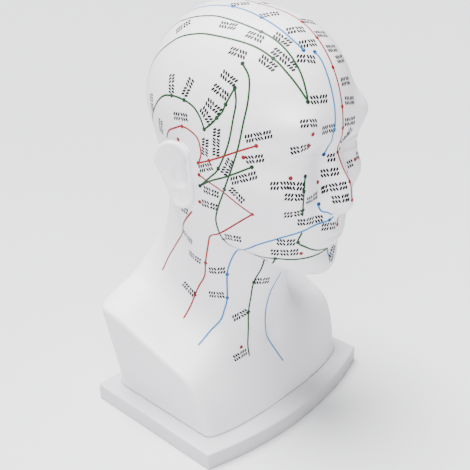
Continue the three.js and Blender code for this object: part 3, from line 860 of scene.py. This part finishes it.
def add_ink(name, points, faces, material):
    mesh = bpy.data.meshes.new(name)
    mesh.from_pydata((within_cad(points) * MM).tolist(), [], faces)
    for polygon in mesh.polygons:
        polygon.use_smooth = True
    return add_piece(name, mesh, material)


for ink, code in INKS.items():
    rows = []
    dots = []
    for colour, dotted, places in COURSES:
        if colour == ink:
            marked = on_head(places)
            rows.append(course_points(marked, INK_STEP))
            dots += [marked[k] for k in dotted]
    if ink == "red":
        dots += list(on_head(LONE_DOTS))
    line_ink = enamel_ink(ink + "_enamel", code)
    dot_ink = enamel_ink(ink + "_dot_enamel", DOT_INKS[ink])
    add_ink(ink + "_lines", *lay_lines(rows, LINE_WIDTH), line_ink)
    add_ink(ink + "_dots", *lay_dots(np.array(dots), DOT_RADIUS), dot_ink)

# Printed marks beside the dots: short rows of slanting black strokes, each row of strokes standing
# where the real head has a small label. They are pad-printed in a thin black ink and spell nothing.
STROKE_WIDTH = 1.75
STROKE_LENGTH = 3.4
STROKE_GAP = 2.5
ROW_GAP = 3.7
MARK_PITCH = 8.2
SLANTS = (62, 118)
TOWARDS_FACE = np.array([0.67, -0.74, 0.0])

# Place, turn in degrees from level towards the face, and number of marks
MARKS = [
    [44, -34, 209, 3, 2], [37, 10, 214, -29, 2], [36, 37, 209, -35, 2], [26, 56, 208, -39, 2],
    [34, 65, 196, -42, 3], [43, 56, 193, -41, 2], [49, 31, 198, -29, 2], [59, 31, 180, -38, 2],
    [65, 27, 170, -35, 2], [68, 23, 158, -35, 2], [71, -21, 169, 87, 2], [70, -3, 169, 59, 2],
    [67, -50, 147, 96, 2], [22, 90, 167, 8, 2], [75, -8, 145, 5, 2], [71, 18, 150, -52, 2],
    [71, 16, 124, 86, 2], [70, 27, 130, 87, 3], [58, 61, 140, 20, 3], [59, 58, 121, 14, 2],
    [70, 15, 106, 22, 2], [67, 36, 111, 63, 2], [63, 50, 104, 19, 3], [68, 19, 85, -4, 2],
    [64, 44, 88, -37, 2], [67, 16, 72, -1, 2], [69, -38, 129, 89, 2], [71, -10, 61, -13, 1],
    [38, 94, 153, 9, 2], [42, 89, 132, 9, 2], [52, 78, 102, 4, 2], [44, 88, 102, -3, 2],
    [46, 88, 93, -3, 2], [28, 93, 88, -4, 2], [41, 84, 76, 6, 2], [26, 89, 67, 0, 3],
    [60, -19, 29, -8, 2], [57, -13, 9, -8, 2], [55, -24, -29, -37, 2], [51, 8, 0, 4, 2],
    [49, 5, -27, 9, 2], [57, 33, 43, 9, 2], [42, 50, 23, 9, 2], [39, 76, 47, 2, 2],
    [38, 74, 36, 5, 3], [18, 34, -15, -11, 2], [35, 22, -48, 26, 2], [42, 29, -86, 19, 2],
    [48, -80, 120, 0, 2], [48, -78, 150, 0, 2], [30, -90, 130, 0, 2], [30, -87, 165, 0, 2],
    [11, -1, 226, 5, 2], [13, 32, 222, 17, 2], [-8, 10, 226, 41, 1], [-9, 54, 217, 37, 2],
    [12, 57, 212, 21, 2], [-10, 67, 209, 42, 2], [12, 70, 205, 23, 2], [-11, 77, 199, 39, 2],
    [21, 76, 196, 4, 2], [-16, 81, 190, 44, 2], [-12, 91, 175, 25, 2], [-12, 95, 160, 10, 2],
    [18, 96, 144, 3, 2], [-10, 98, 144, 0, 2], [7, 94, 117, 7, 1], [11, 96, 106, 8, 2],
    [10, 100, 94, 14, 3], [9, 107, 85, 13, 2], [9, 95, 58, -4, 2], [-8, 97, 132, 21, 2],
    [-5, 101, 102, 21, 1], [-5, 106, 92, 32, 1], [-6, 92, 26, 71, 2],
    [-10, -92, 98, 0, 2], [-10, -96, 130, 0, 2], [-10, -94, 160, 0, 2], [-10, -84, 187, 0, 2],
    [-9, 97, 131, 20, 1], [-38, 90, 106, 20, 1], [-25, 91, 102, 20, 1],
]

centres = onto_skin(on_head([mark[:3] for mark in MARKS]), INK_HEIGHT)
normals = unit(skin_slope(centres))
strokes = []
for index, (_, _, _, turn, count) in enumerate(MARKS):
    normal = normals[index]
    level = TOWARDS_FACE - normal * (TOWARDS_FACE @ normal)
    level /= np.linalg.norm(level)
    rise = np.cross(normal, level)
    a = math.radians(turn)
    level, rise = level * math.cos(a) + rise * math.sin(a), rise * math.cos(a) - level * math.sin(a)
    for k in range(count):
        slant = math.radians(SLANTS[(k + index) % 2])
        half = (level * math.cos(slant) + rise * math.sin(slant)) * STROKE_LENGTH / 2
        for row in (-0.5, 0.5):
            for column in (-1, 0, 1):
                across = (k - (count - 1) / 2) * MARK_PITCH + column * STROKE_GAP
                middle = centres[index] + level * across + rise * row * ROW_GAP
                strokes.append(np.array([middle + half * t for t in (-1, -0.5, 0.5, 1)]))
pad_ink = enamel_ink("black_pad_ink", "#08080a")
add_ink("label_strokes", *lay_lines(strokes, STROKE_WIDTH), pad_ink)

# Studio: a plain pale floor, a broad soft light from high above and a little behind the head, and a
# square soft lamp above the camera, both white.
FLOOR = 4.0
floor_mesh = bpy.data.meshes.new("floor")
floor_corners = [(x * FLOOR, y * FLOOR, 0) for x, y in ((-1, -1), (1, -1), (1, 1), (-1, 1))]
floor_mesh.from_pydata(floor_corners, [], [(0, 1, 2, 3)])
floor = bpy.data.objects.new("floor", floor_mesh)
bpy.context.scene.collection.objects.link(floor)
floor_paint = bpy.data.materials.new("pale_floor")
floor_paint.use_nodes = True
floor_shader = floor_paint.node_tree.nodes["Principled BSDF"]
floor_shader.inputs["Base Color"].default_value = linear("#d8d9db")
floor_shader.inputs["Roughness"].default_value = 0.9
floor_mesh.materials.append(floor_paint)

world = bpy.data.worlds.new("studio")
world.use_nodes = True
world.node_tree.nodes["Background"].inputs["Color"].default_value = linear("#f2f4f6")
world.node_tree.nodes["Background"].inputs["Strength"].default_value = 0.15
bpy.context.scene.world = world


# Places a light and turns it to a target
def aim(light, place, target):
    light.location = place
    away = np.subtract(place, target)
    tilt = math.atan2(math.hypot(away[0], away[1]), away[2])
    light.rotation_euler = (tilt, 0, math.atan2(away[1], away[0]) + math.pi / 2)


MIDDLE = (0, 0, 0.2)
key_lamp = bpy.data.lights.new("key", "SUN")
key_lamp.angle = math.radians(35)
key_lamp.energy = 11
key = bpy.data.objects.new("key", key_lamp)
bpy.context.scene.collection.objects.link(key)
aim(key, (-0.2, 0.5, 2.2), MIDDLE)

fill_lamp = bpy.data.lights.new("fill", "AREA")
fill_lamp.shape = "SQUARE"
fill_lamp.size = 0.6
fill_lamp.energy = 12
fill = bpy.data.objects.new("fill", fill_lamp)
bpy.context.scene.collection.objects.link(fill)
aim(fill, (-0.5, -0.4, 0.85), MIDDLE)

# Camera at the photograph's viewing angle, fitted to the plate's corners and the head's outline
camera_data = bpy.data.cameras.new("camera")
camera_data.sensor_width = 36
camera_data.lens = 58.22
camera = bpy.data.objects.new("camera", camera_data)
bpy.context.scene.collection.objects.link(camera)
CAMERA_PLACE = (-0.4818, -0.4436, 0.4880)
CAMERA_RIGHT = (0.67357421, -0.7391196, 0)
CAMERA_UP = (0.32462436, 0.29583656, 0.89838731)
CAMERA_BACK = (-0.66401566, -0.60513052, 0.43920411)
axes = [CAMERA_RIGHT, CAMERA_UP, CAMERA_BACK, CAMERA_PLACE]
camera.matrix_world = Matrix([[axis[row] for axis in axes] for row in range(3)] + [[0, 0, 0, 1]])
bpy.context.scene.camera = camera
